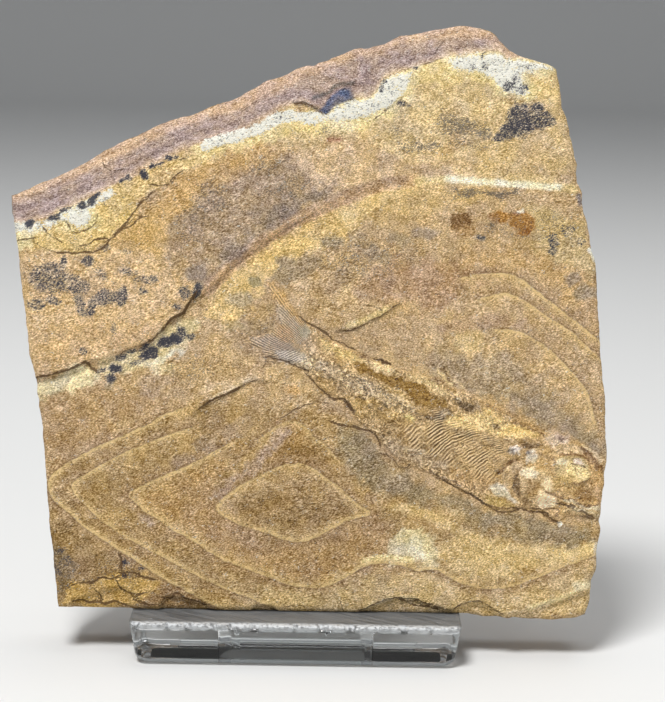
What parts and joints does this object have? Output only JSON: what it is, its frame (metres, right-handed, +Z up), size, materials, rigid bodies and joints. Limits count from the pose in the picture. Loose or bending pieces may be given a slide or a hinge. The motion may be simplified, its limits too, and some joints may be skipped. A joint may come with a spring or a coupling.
{
  "type": "fossil fish slab",
  "caption": "Split slab of banded limestone with a fossil fish in low relief, leaning back on a clear acrylic display stand.",
  "frame": {"origin": "middle of the underside of the whole object's box, on the surface that the stand stands on", "axes": "+Z up; the fish faces -Y, with its head toward +X; +Y runs back toward the stand's rear leg"},
  "size_m": [0.102, 0.047, 0.1058],
  "materials": {
    "limestone": "matt, fine grained, banded in ochre, tan, brown and yellow",
    "clear_acrylic": "clear and polished, its top edge sawn and frosted"
  },
  "bodies": {
    "root": {"fossil_slab": "limestone", "acrylic_stand": "clear_acrylic"}
  },
  "joints": []
}
